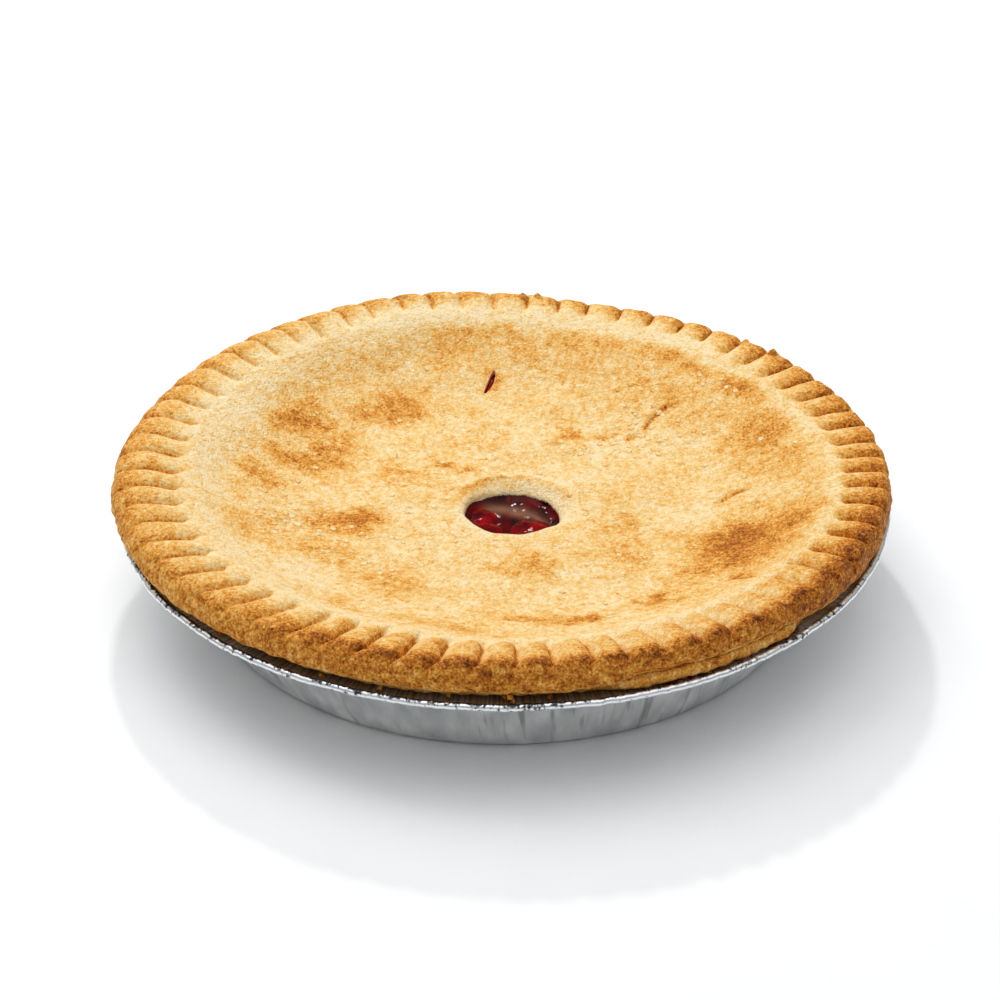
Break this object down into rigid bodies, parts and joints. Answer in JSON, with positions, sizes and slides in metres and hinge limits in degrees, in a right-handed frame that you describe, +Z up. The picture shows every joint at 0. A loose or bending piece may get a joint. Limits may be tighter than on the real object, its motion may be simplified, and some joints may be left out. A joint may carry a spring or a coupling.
{
  "type": "cherry pie",
  "caption": "Baked round cherry pie in its own foil tin, with a sunken pale golden lid, a crimped browned edge and a vent hole that shows the red filling.",
  "frame": {"origin": "middle of the tin's flat foot, on the surface it stands on", "axes": "+Z up through the lid; +Y away from the side with the knocked crumbs; +X to the right of the vent hole seen from that side"},
  "size_m": [0.2239, 0.2222, 0.0416],
  "materials": {
    "foil": "thin pressed foil, bright and slightly wrinkled",
    "base_pastry": null,
    "filling": null,
    "lid_pastry": null
  },
  "bodies": {
    "root": {"foil_tin": "foil", "base_crust": "base_pastry", "cherry_filling": "filling", "lid_crust": "lid_pastry"}
  },
  "joints": []
}
